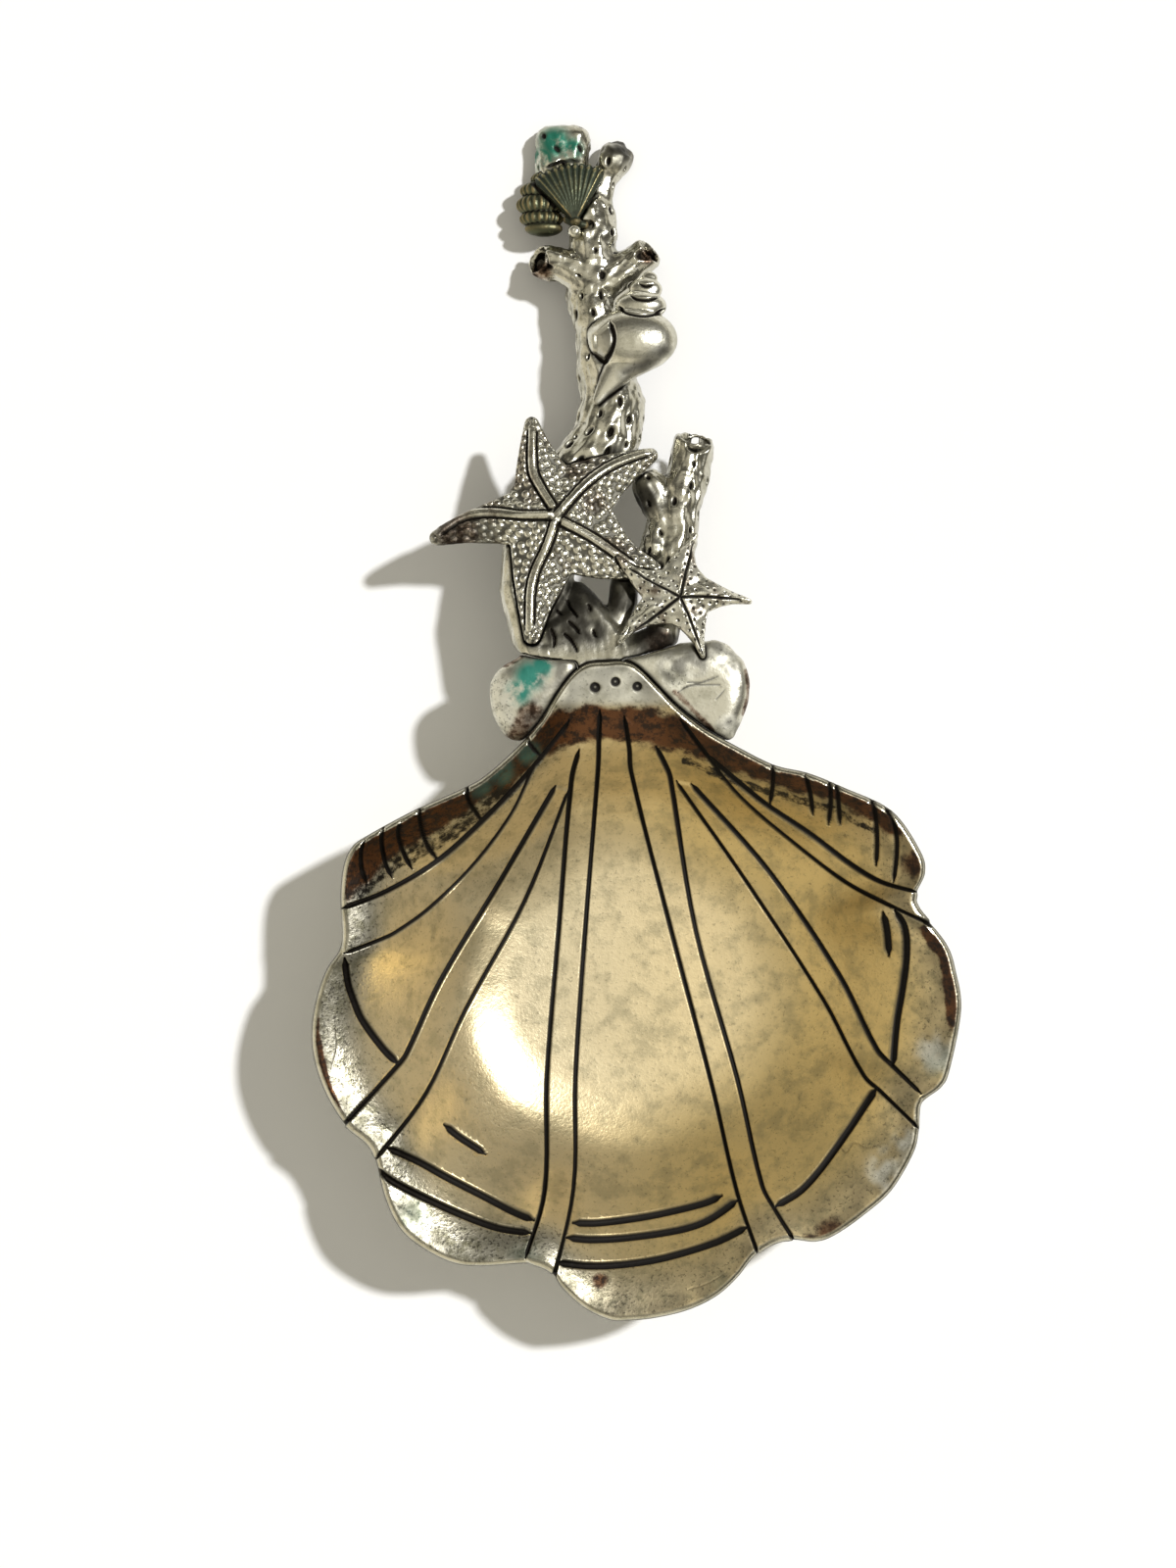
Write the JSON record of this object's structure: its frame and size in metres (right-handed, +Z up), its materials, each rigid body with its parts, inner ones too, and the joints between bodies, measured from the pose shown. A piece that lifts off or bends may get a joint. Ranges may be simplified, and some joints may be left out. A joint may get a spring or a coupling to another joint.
{
  "type": "sugar spoon",
  "caption": "Scoop for sugar: a lobed scallop-shell bowl on a branching coral handle set with starfish, a whelk, a fan scallop and a turban shell, cast in pewter.",
  "frame": {"origin": "on the table under the middle of the spoon's length and width, as it lies on its bowl's foot and the tip of its handle", "axes": "+Y along the spoon towards the handle's tip, +X to the right as seen from above with the handle pointing away, +Z up out of the bowl"},
  "size_m": [0.0666, 0.1244, 0.015],
  "materials": {
    "bowl_pewter": "polished antique pewter with black engraved lines",
    "ear_pewter": "polished antique pewter, the left one with a faint green patina",
    "coral_pewter": "antique pewter, pitted, with dark recesses",
    "starfish_pewter": "antique pewter, beaded, with dark recesses",
    "shell_pewter": "polished antique pewter with dark grooves",
    "fan_pewter": "antique pewter with a green-grey patina"
  },
  "bodies": {
    "root": {"shell_bowl": "bowl_pewter", "hinge_ear_left": "ear_pewter", "hinge_ear_right": "ear_pewter", "coral_root": "coral_pewter", "coral_stem": "coral_pewter", "coral_branch": "coral_pewter", "starfish_large": "starfish_pewter", "starfish_small": "starfish_pewter", "whelk": "shell_pewter", "fan_scallop": "fan_pewter", "turban_shell": "fan_pewter", "pearl": "shell_pewter"}
  },
  "joints": []
}
